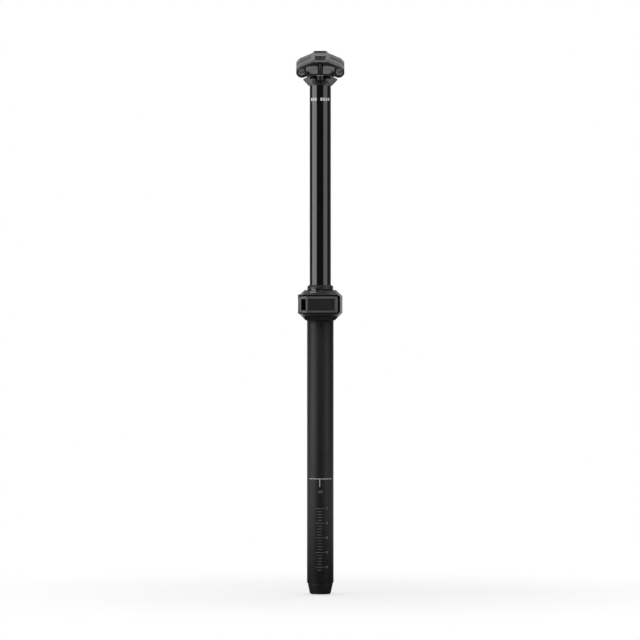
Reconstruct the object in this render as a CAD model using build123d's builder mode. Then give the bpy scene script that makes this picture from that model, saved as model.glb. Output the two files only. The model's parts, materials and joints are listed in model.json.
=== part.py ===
from build123d import *
import os
from math import cos, sin, radians

os.makedirs("parts", exist_ok=True)

# A wireless dropper seatpost, shown fully raised, in millimetres.
# The origin is on the post's axis at the underside of the collar, where the frame's seat tube
# begins. +Z runs up the post, -Y is the front, where the battery sits, and +X is to the right
# for someone who looks at the battery.

# Driving sizes
insert_diameter = 30.9      # outer tube, the part that goes into the frame
insert_wall = 1.75
insert_length = 305.0       # outer tube below the collar
post_diameter = 25.0        # sliding inner post
post_wall = 1.75
travel = 225.0              # how far the post drops
dropped_gap = 7.0           # post still showing when it is right down
saddle_tilt = 17.0          # rails against the post's square, front end down, in degrees
rail_spacing = 44.0         # centre to centre of the two saddle rails
rail_diameter = 7.0
rail_grip = 36.0            # length of rail that the clamp holds
collar_width = 51.4
collar_height = 35.3
cap_height = 5.4            # the ring that stands on the collar

# Clearances that the whole part shares
hex_sides = 6
quarter_turn = 90.0                       # degrees
running_gap = 0.05          # between a sliding or turning pair
free_gap = 0.3              # between neighbours that must not touch
overrun = 2.0               # how far a cut passes through what it cuts

insert_radius = insert_diameter / 2
insert_bore = insert_radius - insert_wall
post_radius = post_diameter / 2
post_bore = post_radius - post_wall
collar_half = collar_width / 2
collar_top = collar_height + cap_height

# Heights on the inner post, as it stands raised
exposed_post = travel + dropped_gap
post_top = collar_top + exposed_post
foot_seat = 12.7                         # rod's foot above the outer tube's lower end
foot_height = 6.0                        # threaded foot that carries the rod
bumper_height = 3.0
foot_bottom = foot_seat - insert_length
foot_top = foot_bottom + foot_height
post_bottom = foot_top + bumper_height + free_gap + travel
spigot_length = 14.0                     # head's plug inside the post

# Inner post: a plain tube with three pockets for the keys near its lower end
key_radius = 1.25
key_length = 14.0
key_count = 3
key_stand_out = 0.3                      # key's axis outside the post's surface
key_offset = post_radius + key_stand_out
guide_length = 18.0                      # lower bushing's length
guide_ring = 2.0                         # retaining ring under it
key_bottom = post_bottom + guide_ring + guide_length + free_gap
key_first_angle = 90.0

with BuildPart() as inner_post:
    with BuildSketch(Plane.XY.offset(post_bottom)):
        Circle(post_radius)
        Circle(post_bore, mode=Mode.SUBTRACT)
    extrude(amount=post_top - post_bottom)
    with BuildSketch(Plane.XY.offset(key_bottom)):
        with PolarLocations(key_offset, key_count, start_angle=key_first_angle):
            Circle(key_radius)
    extrude(amount=key_length, mode=Mode.SUBTRACT)
inner_post.part.label = "inner_post"
export_step(inner_post.part, "parts/inner_post.step")

with BuildPart() as anti_rotation_keys:
    with BuildSketch(Plane.XY.offset(key_bottom)):
        with PolarLocations(key_offset, key_count, start_angle=key_first_angle):
            Circle(key_radius)
    extrude(amount=key_length)
anti_rotation_keys.part.label = "anti_rotation_keys"
export_step(anti_rotation_keys.part, "parts/anti_rotation_keys.step")

# Lower bushing: slides in the outer tube, with its split ring below it
with BuildPart() as lower_bushing:
    with BuildSketch(Plane.XY.offset(post_bottom + guide_ring)):
        Circle(insert_bore - running_gap)
        Circle(post_radius, mode=Mode.SUBTRACT)
    extrude(amount=guide_length)
lower_bushing.part.label = "lower_bushing"
export_step(lower_bushing.part, "parts/lower_bushing.step")

ring_split = 20.0                        # opening of the split ring, in degrees
ring_lip = 1.1
with BuildPart() as bushing_retaining_ring:
    with BuildSketch(Plane.XY.offset(post_bottom)):
        Circle(post_radius + ring_lip)
        Circle(post_radius, mode=Mode.SUBTRACT)
        with Locations((post_radius, 0)):
            Rectangle(2 * ring_lip + overrun, 2 * post_radius * sin(radians(ring_split / 2)),
                      mode=Mode.SUBTRACT)
    extrude(amount=guide_ring)
bushing_retaining_ring.part.label = "bushing_retaining_ring"
export_step(bushing_retaining_ring.part, "parts/bushing_retaining_ring.step")

# Piston rod: a hollow rod fixed at the bottom, with the valve's push rod inside it
rod_radius = 5.0
rod_bore = 2.0
push_radius = 1.5
piston_height = 10.0
seal_head_height = 12.0
seal_width = 1.8                         # thickness of the O-rings' section
piston_bottom = post_bottom + seal_head_height + bumper_height + free_gap
piston_top = piston_bottom + piston_height

# Inner seal head: closes the foot of the inner post round the rod
rod_seal_height = 3.0
rod_seal_width = 2.6
head_ring_height = 1.6
with BuildPart() as inner_seal_head:
    with BuildSketch(Plane.XY.offset(post_bottom + head_ring_height)):
        Circle(post_bore)
        Circle(rod_radius + running_gap, mode=Mode.SUBTRACT)
    extrude(amount=seal_head_height - head_ring_height)
    with BuildSketch(Plane.XY.offset(post_bottom + seal_head_height - rod_seal_height)):
        Circle(rod_radius + rod_seal_width)
    extrude(amount=rod_seal_height, mode=Mode.SUBTRACT)
    with BuildSketch(Plane.XY.offset(post_bottom + seal_head_height / 2)):
        Circle(post_bore)
        Circle(post_bore - seal_width, mode=Mode.SUBTRACT)
    extrude(amount=-seal_width, mode=Mode.SUBTRACT)
inner_seal_head.part.label = "inner_seal_head"
export_step(inner_seal_head.part, "parts/inner_seal_head.step")

with BuildPart() as seal_head_seals:
    with BuildSketch(Plane.XY.offset(post_bottom + seal_head_height - rod_seal_height)):
        Circle(rod_radius + rod_seal_width)
        Circle(rod_radius + running_gap, mode=Mode.SUBTRACT)
    extrude(amount=rod_seal_height)
    with BuildSketch(Plane.XY.offset(post_bottom + seal_head_height / 2)):
        Circle(post_bore)
        Circle(post_bore - seal_width, mode=Mode.SUBTRACT)
    extrude(amount=-seal_width)
seal_head_seals.part.label = "seal_head_seals"
export_step(seal_head_seals.part, "parts/seal_head_seals.step")

with BuildPart() as seal_head_ring:
    with BuildSketch(Plane.XY.offset(post_bottom)):
        Circle(post_bore)
        Circle(post_bore - 2 * ring_lip, mode=Mode.SUBTRACT)
    extrude(amount=head_ring_height)
seal_head_ring.part.label = "seal_head_ring"
export_step(seal_head_ring.part, "parts/seal_head_ring.step")

with BuildPart() as top_out_bumper:
    with BuildSketch(Plane.XY.offset(post_bottom + seal_head_height)):
        Circle(post_bore - ring_lip)
        Circle(rod_radius + free_gap, mode=Mode.SUBTRACT)
    extrude(amount=bumper_height)
    chamfer(top_out_bumper.faces().sort_by(Axis.Z)[-1].edges(), ring_lip / 2)
top_out_bumper.part.label = "top_out_bumper"
export_step(top_out_bumper.part, "parts/top_out_bumper.step")

# Main piston on the rod's top, with four oil ports and a glide ring round it
port_radius = 1.0
port_count = 4
glide_height = 3.6
glide_width = 1.2
poppet_radius = 7.6
poppet_height = 1.6
valve_lift = 1.5
spring_space = 4.0
plate_height = 2.0
with BuildPart() as main_piston:
    with BuildSketch(Plane.XY.offset(piston_bottom)):
        Circle(post_bore - running_gap)
        Circle(rod_bore, mode=Mode.SUBTRACT)
        with PolarLocations((rod_radius + poppet_radius) / 2, port_count):
            Circle(port_radius, mode=Mode.SUBTRACT)
    extrude(amount=piston_height)
    with BuildSketch(Plane.XY.offset(piston_bottom)):
        Circle(rod_radius)
    extrude(amount=piston_height / 2, mode=Mode.SUBTRACT)
    with BuildSketch(Plane.XY.offset(piston_bottom + (piston_height - glide_height) / 2)):
        Circle(post_bore)
        Circle(post_bore - glide_width, mode=Mode.SUBTRACT)
    extrude(amount=glide_height, mode=Mode.SUBTRACT)
main_piston.part.label = "main_piston"
export_step(main_piston.part, "parts/main_piston.step")

with BuildPart() as piston_glide_ring:
    with BuildSketch(Plane.XY.offset(piston_bottom + (piston_height - glide_height) / 2)):
        Circle(post_bore - running_gap / 2)
        Circle(post_bore - glide_width, mode=Mode.SUBTRACT)
    extrude(amount=glide_height)
piston_glide_ring.part.label = "piston_glide_ring"
export_step(piston_glide_ring.part, "parts/piston_glide_ring.step")

with BuildPart() as piston_rod:
    with BuildSketch(Plane.XY.offset(foot_bottom)):
        Circle(rod_radius)
        Circle(rod_bore, mode=Mode.SUBTRACT)
    extrude(amount=piston_bottom + piston_height / 2 - foot_bottom)
piston_rod.part.label = "piston_rod"
export_step(piston_rod.part, "parts/piston_rod.step")

# Poppet valve on the piston's face, its spring, and the retainer that the spring pushes on
spring_wire = 0.8
with BuildPart() as poppet_valve:
    with BuildSketch(Plane.XY.offset(piston_top + running_gap)):
        Circle(poppet_radius)
    extrude(amount=poppet_height)
    with BuildSketch(Plane.XY.offset(piston_top + running_gap)):
        Circle(push_radius)
    extrude(amount=-piston_height / 4)
poppet_valve.part.label = "poppet_valve"
export_step(poppet_valve.part, "parts/poppet_valve.step")

retainer_bottom = piston_top + poppet_height + spring_space
with BuildPart() as valve_retainer:
    with BuildSketch(Plane.XY.offset(retainer_bottom)):
        Circle(post_bore - ring_lip)
        with PolarLocations((rod_radius + poppet_radius) / 2, port_count):
            Circle(port_radius, mode=Mode.SUBTRACT)
    extrude(amount=plate_height)
    with BuildSketch(Plane.XY.offset(piston_top)):
        Circle(post_bore - ring_lip)
        Circle(poppet_radius + free_gap, mode=Mode.SUBTRACT)
        with PolarLocations(post_bore, port_count, start_angle=360 / port_count / 2):
            Rectangle(post_bore, rod_radius, mode=Mode.SUBTRACT)
    extrude(amount=retainer_bottom - piston_top)
valve_retainer.part.label = "valve_retainer"
export_step(valve_retainer.part, "parts/valve_retainer.step")

with BuildPart() as poppet_spring:
    with BuildSketch(Plane.XY.offset(piston_top + poppet_height + running_gap)):
        Circle(rod_radius)
        Circle(rod_radius - spring_wire, mode=Mode.SUBTRACT)
    extrude(amount=spring_space - running_gap)
poppet_spring.part.label = "poppet_spring"
export_step(poppet_spring.part, "parts/poppet_spring.step")

# Floating piston between the oil and the air in the inner post
float_height = 12.0
float_ratio = (rod_radius / post_bore) ** 2
piston_reach = retainer_bottom + plate_height + travel
float_bottom = piston_reach - travel * float_ratio + free_gap
float_seal_count = 2
with BuildPart() as floating_piston:
    with BuildSketch(Plane.XY.offset(float_bottom)):
        Circle(post_bore - running_gap)
    extrude(amount=float_height)
    with BuildSketch(Plane.XY.offset(float_bottom + float_height)):
        Circle(post_bore - insert_wall)
    extrude(amount=-float_height / 2, mode=Mode.SUBTRACT)
    for seal in range(1, float_seal_count + 1):
        seal_base = float_bottom + float_height * seal / (float_seal_count + 1) - seal_width / 2
        with BuildSketch(Plane.XY.offset(seal_base)):
            Circle(post_bore)
            Circle(post_bore - insert_wall / 2, mode=Mode.SUBTRACT)
        extrude(amount=seal_width, mode=Mode.SUBTRACT)
floating_piston.part.label = "floating_piston"
export_step(floating_piston.part, "parts/floating_piston.step")

with BuildPart() as floating_piston_seals:
    for seal in range(1, float_seal_count + 1):
        seal_base = float_bottom + float_height * seal / (float_seal_count + 1) - seal_width / 2
        with BuildSketch(Plane.XY.offset(seal_base)):
            Circle(post_bore - running_gap / 2)
            Circle(post_bore - insert_wall / 2, mode=Mode.SUBTRACT)
        extrude(amount=seal_width)
floating_piston_seals.part.label = "floating_piston_seals"
export_step(floating_piston_seals.part, "parts/floating_piston_seals.step")

# Saddle clamp's own frame: its origin is on the post's axis at the rails' height, its Y runs
# back along the rails and its Z stands square on them.
rail_radius = rail_diameter / 2
rail_rise = 20.2                          # rails' height over the post's top, at its axis
rail_height = post_top + rail_rise
tilt_cos = cos(radians(saddle_tilt))
tilt_sin = sin(radians(saddle_tilt))
clamp_base = Plane(origin=(0, 0, rail_height), x_dir=(1, 0, 0), z_dir=(0, -tilt_sin, tilt_cos))
clamp_front = Plane(origin=(0, 0, rail_height), x_dir=(1, 0, 0), z_dir=(0, -tilt_cos, -tilt_sin))
clamp_side = Plane(origin=(0, 0, rail_height), x_dir=(0, tilt_cos, tilt_sin), z_dir=(1, 0, 0))

# The cradle rocks on a round seat, whose axis lies above the rails
seat_radius = 25.0
seat_axis_height = 20.7

# Clamp bolts: each runs from a domed washer under the head up into a barrel nut
bolt_radius = 2.5
bolt_head_radius = 4.2
bolt_head_height = 4.6
bolt_key = 2.3
washer_radius = 4.7
washer_height = 2.0
dome_radius = 8.0
nut_radius = 3.2
nut_half = 4.6
nut_reach = 12.4                          # nut's place along the rails, either way
nut_height = 13.2                         # nut's height over the rails
bolt_gap = 0.35                           # play at the bolt and under its dome
rear_lean = 12.0                          # rear bolt's lean, foot backwards, in degrees
front_bolt_length = 24.3                  # from the nut's axis to the dome's centre
rear_bolt_length = 27.6
bolt_tip = 2.8                            # bolt's end above the nut's axis
end_chamfer = 0.4


def clamp_point(y, z):
    """A point of the clamp's middle plane in the post's frame."""
    return clamp_base.from_local_coords((0, y, z))


front_nut = clamp_point(-nut_reach, nut_height)
rear_nut = clamp_point(nut_reach, nut_height)
bolts = {
    "front": (front_nut, 0.0, front_bolt_length, -1),
    "rear": (rear_nut, rear_lean, rear_bolt_length, 1),
}

bolt_planes = {}
nut_planes = {}
for side, (nut_at, lean, length, way) in bolts.items():
    up = (0, -way * sin(radians(lean)), cos(radians(lean)))
    foot = (0, nut_at.Y - up[1] * length, nut_at.Z - up[2] * length)
    bolt_planes[side] = Plane(origin=foot, x_dir=(1, 0, 0), z_dir=up)
    nut_planes[side] = Plane(origin=(0, nut_at.Y, nut_at.Z), x_dir=(0, 1, 0), z_dir=(1, 0, 0))

# Upper clamp: an arched plate with four fingers that press on the rails
plate_top = 16.6
block_half = 7.2
shoulder_x = 9.4
shoulder_z = 13.9
wing_x = 24.0
wing_z = 7.7
finger_width = 6.0                        # finger's end beyond its rail's middle
tip_x = rail_spacing / 2 + finger_width
tip_z = 3.4
lip_gap = 0.4
lip_set_back = 0.6
inner_lip = 1.3
lip_x = tip_x - lip_set_back
inner_lip_x = rail_spacing / 2 - rail_radius - inner_lip
arch_height = 8.6
arch_x = 14.8
flange = 2.0
flange_set_back = 1.8
finger_gap = 6.5
finger_root = 12.5
pocket_half = 6.1
trough_sill = 0.8                         # where the nut's trough widens, over the nut's axis
trough_play = 1.4
pocket_sill = 14.4
bolt_slot = 8.6                           # room along the rails for a bolt to swing

arch_top = [(0, plate_top), (block_half, plate_top), (shoulder_x, shoulder_z), (wing_x, wing_z),
            (tip_x, tip_z)]
web_foot = [(lip_x, lip_gap), (inner_lip_x, lip_gap), (inner_lip_x, arch_height - flange),
            (arch_x, arch_height), (0, arch_height)]
flange_foot = [(tip_x - flange / 2, tip_z - flange / 2), (wing_x - flange / 2, wing_z - flange),
               (shoulder_x - flange / 2, shoulder_z - flange), (0, shoulder_z - flange)]
arch_layers = ((web_foot, rail_grip / 2 - flange_set_back), (flange_foot, rail_grip / 2))
corner_rounds = ((block_half, flange), (shoulder_x, flange), (wing_x, 2 * flange),
                 (tip_x, flange / 4))

with BuildPart() as upper_clamp:
    for arch_foot, half_depth in arch_layers:
        with BuildSketch(clamp_front) as arch_profile:
            with BuildLine():
                Polyline(*arch_top, *arch_foot, close=True)
            make_face()
            for corner_x, corner_radius in corner_rounds:
                corner = arch_profile.vertices().filter_by(
                    lambda v, x=corner_x: abs(v.X - x) < running_gap).sort_by(Axis.Y)[-1]
                fillet(corner, corner_radius)
            mirror(about=Plane.YZ)
        extrude(amount=half_depth, both=True)
    with BuildSketch(clamp_base):
        for side in (-1, 1):
            with Locations((side * (finger_root + tip_x) / 2, 0)):
                Rectangle(tip_x - finger_root + overrun, finger_gap)
    extrude(amount=plate_top + overrun, both=True, mode=Mode.SUBTRACT)
    with BuildSketch(clamp_front):
        for side in (-1, 1):
            with Locations((side * rail_spacing / 2, 0)):
                Circle(rail_radius)
    extrude(amount=rail_grip, both=True, mode=Mode.SUBTRACT)
    for nut_side in (-1, 1):
        with BuildSketch(clamp_side):
            with Locations((nut_side * nut_reach, nut_height)):
                Circle(nut_radius + running_gap)
            with Locations((nut_side * nut_reach, nut_height + trough_sill)):
                Rectangle(2 * (nut_radius + trough_play), plate_top,
                          align=(Align.CENTER, Align.MIN))
            with Locations((nut_side * nut_reach, nut_height)):
                Rectangle(2 * (nut_radius + running_gap), plate_top,
                          align=(Align.CENTER, Align.MIN))
        extrude(amount=pocket_half, both=True, mode=Mode.SUBTRACT)
    for side, bolt_plane in bolt_planes.items():
        with BuildSketch(bolt_plane):
            SlotOverall(bolt_slot, 2 * (bolt_radius + bolt_gap), rotation=quarter_turn)
        extrude(amount=bolts[side][2], mode=Mode.SUBTRACT)
    with BuildSketch(clamp_base.offset(pocket_sill)):
        with Locations((0, -nut_reach)):
            Rectangle(2 * pocket_half - flange, rail_grip, align=(Align.CENTER, Align.MAX))
    extrude(amount=plate_top, mode=Mode.SUBTRACT)
upper_clamp.part.label = "upper_clamp"
export_step(upper_clamp.part, "parts/upper_clamp.step")

# Lower cradle: two blocks on the seat, and an arm each side with a cup for the rail
cradle_half = 16.2
cradle_top = 7.2
cup_depth = 7.0
cup_radius = 5.9
seat_half = 12.5
arm_rise = 0.6
arm_foot_x = 16.4
arm_foot_z = 5.8
slot_half = 3.1
web_front = 7.0
web_back = 4.4
block_chamfer = 1.6
block_round = 4.6
cradle_inset = 1.0

with BuildPart() as lower_cradle:
    with BuildSketch(clamp_front):
        with BuildLine():
            Polyline((tip_x, -rail_radius / 2), (tip_x - lip_gap, -lip_gap),
                     (inner_lip_x, -lip_gap), (cradle_half, lip_gap),
                     (cradle_half, cradle_top - block_chamfer),
                     (cradle_half - block_chamfer, cradle_top), (0, cradle_top),
                     (0, -cup_depth), (seat_half, -cup_depth), (seat_half, arm_rise),
                     (arm_foot_x, -arm_foot_z), (rail_spacing / 2 - flange, -cup_depth))
            ThreePointArc((rail_spacing / 2 - flange, -cup_depth),
                          (rail_spacing / 2 + cup_radius / 2, -cup_radius),
                          (tip_x, -rail_radius / 2))
        make_face()
        mirror(about=Plane.YZ)
    extrude(amount=rail_grip / 2 - cradle_inset, both=True)
    front_edges = lower_cradle.edges().filter_by(Axis.X).filter_by(
        lambda e: abs(clamp_base.to_local_coords(e.center()).Z - cradle_top) < running_gap)
    fillet(front_edges, block_round)
    with BuildSketch(clamp_front):
        for side in (-1, 1):
            with Locations((side * rail_spacing / 2, 0)):
                Circle(rail_radius)
    extrude(amount=rail_grip, both=True, mode=Mode.SUBTRACT)
    with BuildSketch(clamp_side):
        with Locations((0, seat_axis_height)):
            Circle(seat_radius + 2 * cup_depth)
            Circle(seat_radius, mode=Mode.SUBTRACT)
    extrude(amount=seat_half, both=True, mode=Mode.SUBTRACT)
    for slot_end, slot_way in ((-web_front, Align.MAX), (web_back, Align.MIN)):
        with BuildSketch(clamp_base):
            with Locations((0, slot_end)):
                Rectangle(2 * slot_half, rail_grip, align=(Align.CENTER, slot_way))
        extrude(amount=plate_top, both=True, mode=Mode.SUBTRACT)
lower_cradle.part.label = "lower_cradle"
export_step(lower_cradle.part, "parts/lower_cradle.step")

# Barrel nuts and clamp bolts, with their domed washers
for side, bolt_plane in bolt_planes.items():
    length = bolts[side][2]
    with BuildPart() as barrel_nut:
        with BuildSketch(nut_planes[side]):
            Circle(nut_radius)
        extrude(amount=nut_half, both=True)
        chamfer(barrel_nut.edges().filter_by(GeomType.CIRCLE), end_chamfer)
        with BuildSketch(bolt_plane):
            Circle(bolt_radius + running_gap)
        extrude(amount=length + 2 * nut_radius, mode=Mode.SUBTRACT)
    barrel_nut.part.label = side + "_barrel_nut"
    export_step(barrel_nut.part, "parts/" + side + "_barrel_nut.step")

    washer_top = dome_radius - bolt_gap
    washer_bottom = washer_top - washer_height
    with BuildPart() as clamp_bolt:
        with BuildSketch(bolt_plane.offset(washer_bottom - bolt_head_height)):
            Circle(bolt_head_radius)
        extrude(amount=bolt_head_height)
        chamfer(clamp_bolt.edges().group_by(SortBy.DISTANCE)[0], end_chamfer)
        with BuildSketch(bolt_plane.offset(washer_bottom)):
            Circle(bolt_radius)
        extrude(amount=length + bolt_tip - washer_bottom)
        with BuildSketch(bolt_plane.offset(washer_bottom - bolt_head_height)):
            RegularPolygon(bolt_key, hex_sides)
        extrude(amount=bolt_head_height / 2, mode=Mode.SUBTRACT)
    clamp_bolt.part.label = side + "_clamp_bolt"
    export_step(clamp_bolt.part, "parts/" + side + "_clamp_bolt.step")

    with BuildPart() as dome_washer:
        with BuildSketch(bolt_plane.offset(washer_bottom)):
            Circle(washer_radius)
        extrude(amount=washer_height)
        with Locations(bolt_plane):
            Sphere(dome_radius - bolt_gap, mode=Mode.INTERSECT)
        with BuildSketch(bolt_plane.offset(washer_bottom)):
            Circle(bolt_radius)
        extrude(amount=washer_height, mode=Mode.SUBTRACT)
    dome_washer.part.label = side + "_bolt_washer"
    export_step(dome_washer.part, "parts/" + side + "_bolt_washer.step")

# Post head: a plug in the post, a neck that flares at 45 degrees into two cheeks, and a lug
# front and rear for the clamp bolts
neck_inset = 2.0
flare_height = 11.6
cheek_foot = 13.4
cheek_x = 20.0
cheek_low = 6.9
cheek_high = 7.5
shoulder_height = 11.4
plate_half = 11.9
cheek_front = 9.8
lug_reach = 4.9
lug_width = 12.6
lug_under = 6.3
lug_nose = 2.4
lug_rise = 6.8
head_rise = 27.0
valve_radius = 3.9
valve_well = 6.2
well_floor = 3.0
scoop_radius = 5.8
scoop_floor = 2.0
facet_height = 11.4
facet_foot = 11.7
facet_inner = 7.3
facet_inner_rise = 6.4
neck_flare = 26.0                        # degrees
nose_back = 1.8
ear_x = 15.8
ear_low = 9.3
ear_high = 12.8
ear_top = 16.2
ear_front = 2.0
hole_play = 1.3

facet_reach = 14.1

# A plane slopes in under each corner of the head, through facet_reach along X, Y and down
with BuildPart() as corner_facets:
    facet_point = (-facet_reach, 0, post_top)
    facet_plane = Plane(origin=facet_point, x_dir=(1, -1, 0), z_dir=(-1, -1, -1))
    with BuildSketch(facet_plane):
        Rectangle(4 * cheek_x, 4 * cheek_x)
    extrude(amount=2 * cheek_x)
    with BuildSketch(Plane.XZ.offset(overrun)):
        with BuildLine():
            Polyline((-facet_foot, post_top), (-facet_inner, post_top + facet_inner_rise),
                     (-facet_inner, post_top + facet_height),
                     (-2 * cheek_x, post_top + facet_height), (-2 * cheek_x, post_top),
                     close=True)
        make_face()
    extrude(amount=2 * cheek_x, mode=Mode.INTERSECT)
    mirror(about=Plane.YZ)
    mirror(about=Plane.XZ)

with BuildPart() as post_head:
    flare_y = neck_inset + flare_height
    with BuildSketch(Plane.YZ):
        with BuildLine():
            Polyline((neck_inset, post_top), (flare_y, post_top + flare_height),
                     (flare_y, post_top + head_rise), (-flare_y, post_top + head_rise),
                     (-flare_y, post_top + flare_height), (-neck_inset, post_top), close=True)
        make_face()
        for side, bolt_plane in bolt_planes.items():
            way = bolts[side][3]
            lug = [(-lug_reach, lug_under), (lug_reach, lug_under),
                   (lug_reach, lug_under + lug_nose),
                   (lug_reach - nose_back, lug_under + lug_rise),
                   (-lug_reach, lug_under + lug_rise)]
            corners = [bolt_plane.from_local_coords((0, way * y, z)) for y, z in lug]
            with BuildLine():
                Polyline(*[(corner.Y, corner.Z) for corner in corners], close=True)
            make_face()
    extrude(amount=cheek_x, both=True)
    with BuildSketch(Plane.XZ):
        with BuildLine():
            Polyline((0, post_top), (cheek_foot, post_top), (cheek_x, post_top + cheek_low),
                     (cheek_x, post_top + cheek_high), (plate_half, post_top + shoulder_height),
                     (plate_half, post_top + head_rise), (0, post_top + head_rise), close=True)
        make_face()
        mirror(about=Plane.YZ)
    extrude(amount=head_rise, both=True, mode=Mode.INTERSECT)
    with BuildSketch(Plane.XY.offset(post_top)):
        with BuildLine():
            Polyline((0, head_rise), (lug_width, head_rise), (lug_width, 2 * cheek_front),
                     (cheek_x - neck_inset, cheek_front), (cheek_x, 0), (0, 0), close=True)
        make_face()
        mirror(about=Plane.YZ)
        mirror(about=Plane.XZ)
    extrude(amount=head_rise, mode=Mode.INTERSECT)
    with BuildSketch(Plane.XZ.offset(ear_front)):
        with BuildLine():
            Polyline((0, post_top + cheek_high), (plate_half, post_top + cheek_high),
                     (ear_x, post_top + ear_low), (ear_x, post_top + ear_high),
                     (lug_width, post_top + ear_top), (0, post_top + ear_top), close=True)
        make_face()
        mirror(about=Plane.YZ)
    extrude(amount=-ear_front - cheek_front)
    with BuildSketch(Plane.XY.offset(post_top)):
        Circle(post_radius)
    extrude(amount=cheek_high, taper=-neck_flare)
    add(corner_facets.part, mode=Mode.SUBTRACT)
    with BuildSketch(Plane.XY.offset(post_top)):
        Circle(post_bore)
    extrude(amount=-spigot_length)
    with BuildSketch(clamp_side):
        with Locations((0, seat_axis_height)):
            Circle(seat_radius + running_gap)
    extrude(amount=head_rise, both=True, mode=Mode.SUBTRACT)
    with BuildSketch(Plane.XY.offset(post_top - spigot_length)):
        Circle(valve_radius)
    extrude(amount=spigot_length + head_rise, mode=Mode.SUBTRACT)
    with BuildSketch(Plane.XY.offset(post_top + well_floor)):
        Circle(valve_well)
    extrude(amount=head_rise, mode=Mode.SUBTRACT)
    with BuildSketch(Plane.XY.offset(post_top - spigot_length / 2)):
        Circle(post_bore)
        Circle(post_bore - seal_width, mode=Mode.SUBTRACT)
    extrude(amount=seal_width, mode=Mode.SUBTRACT)
    for side, bolt_plane in bolt_planes.items():
        way = bolts[side][3]
        scoop_depth = bolt_plane.origin.Z + lug_under - post_top - scoop_floor
        with BuildSketch(bolt_plane.offset(lug_under - scoop_depth)):
            Circle(scoop_radius)
            with Locations((0, way * scoop_radius)):
                Rectangle(2 * scoop_radius, 2 * scoop_radius)
        extrude(amount=scoop_depth, mode=Mode.SUBTRACT)
        bolt_middle = Plane(origin=bolt_plane.origin, x_dir=bolt_plane.y_dir,
                            z_dir=bolt_plane.x_dir)
        with BuildSketch(bolt_middle):
            Circle(dome_radius)
            with Locations((0, lug_under)):
                Rectangle(dome_radius, dome_radius, align=(Align.MIN, Align.MIN),
                          mode=Mode.INTERSECT)
        revolve(axis=Axis(bolt_plane.origin, bolt_plane.z_dir), mode=Mode.SUBTRACT)
        with BuildSketch(bolt_plane):
            SlotOverall(2 * (bolt_radius + bolt_gap + hole_play), 2 * (bolt_radius + bolt_gap),
                        rotation=quarter_turn)
            with Locations((0, way * lug_reach)):
                Rectangle(2 * (bolt_radius + bolt_gap), 2 * lug_reach)
        extrude(amount=head_rise, mode=Mode.SUBTRACT)
post_head.part.label = "post_head"
export_step(post_head.part, "parts/post_head.step")

with BuildPart() as head_o_ring:
    with BuildSketch(Plane.XY.offset(post_top - spigot_length / 2)):
        Circle(post_bore)
        Circle(post_bore - seal_width, mode=Mode.SUBTRACT)
    extrude(amount=seal_width)
head_o_ring.part.label = "head_o_ring"
export_step(head_o_ring.part, "parts/head_o_ring.step")

# Air valve in the middle of the head, under the cradle
valve_bore = 2.2
valve_flange = 5.2
flange_height = 2.0
valve_rise = 6.0
pin_radius = 0.9
pin_disc = 1.9
cap_wall = 1.1
valve_bottom = post_top - spigot_length
valve_top = post_top + well_floor + flange_height + valve_rise
pin_plate = 2.0

with BuildPart() as air_valve:
    with BuildSketch(Plane.XY.offset(valve_bottom)):
        Circle(valve_radius)
    extrude(amount=valve_top - valve_bottom)
    with BuildSketch(Plane.XY.offset(post_top + well_floor)):
        RegularPolygon(valve_flange, hex_sides)
    extrude(amount=flange_height)
    with BuildSketch(Plane.XY.offset(valve_bottom)):
        Circle(pin_radius + running_gap)
    extrude(amount=valve_top - valve_bottom, mode=Mode.SUBTRACT)
    with BuildSketch(Plane.XY.offset(valve_bottom)):
        Circle(valve_bore)
    extrude(amount=spigot_length / 2, mode=Mode.SUBTRACT)
    with BuildSketch(Plane.XY.offset(valve_top)):
        Circle(valve_bore)
    extrude(amount=-valve_rise, mode=Mode.SUBTRACT)
air_valve.part.label = "air_valve"
export_step(air_valve.part, "parts/air_valve.step")

with BuildPart() as valve_pin:
    with BuildSketch(Plane.XY.offset(valve_bottom + spigot_length / 2 - running_gap)):
        Circle(pin_disc)
    extrude(amount=-pin_plate)
    with BuildSketch(Plane.XY.offset(valve_bottom + spigot_length / 2 - running_gap)):
        Circle(pin_radius)
    extrude(amount=valve_top - valve_bottom - spigot_length / 2 - free_gap)
valve_pin.part.label = "valve_pin"
export_step(valve_pin.part, "parts/valve_pin.step")

with BuildPart() as valve_cap:
    with BuildSketch(Plane.XY.offset(valve_top - valve_rise)):
        Circle(valve_radius + cap_wall)
    extrude(amount=valve_rise + cap_wall)
    with BuildSketch(Plane.XY.offset(valve_top - valve_rise)):
        Circle(valve_radius)
    extrude(amount=valve_rise, mode=Mode.SUBTRACT)
    chamfer(valve_cap.faces().sort_by(Axis.Z)[-1].edges(), cap_wall / 2)
valve_cap.part.label = "valve_cap"
export_step(valve_cap.part, "parts/valve_cap.step")

# Outer tube: plain outside, with three key grooves and a shallow groove for the flat cable inside
tube_drop = 2.3
tube_rise = collar_height - tube_drop     # tube's end above the collar's underside
tube_step = 0.35                          # how much the tube is turned down inside the collar
neck_radius = insert_radius - tube_step
tube_chamfer = 0.8
cable_width = 5.4
cable_thickness = 0.3
cable_groove = 0.6
key_groove_top = key_bottom + key_length + free_gap + overrun
tab_length = 2.8
board_drop = 4.9
board_floor = collar_height - board_drop
tube_bottom = -insert_length
bracket_gap = 5.7                         # from the rod's foot down to the actuator's bracket
cable_foot = foot_bottom - bracket_gap

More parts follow.
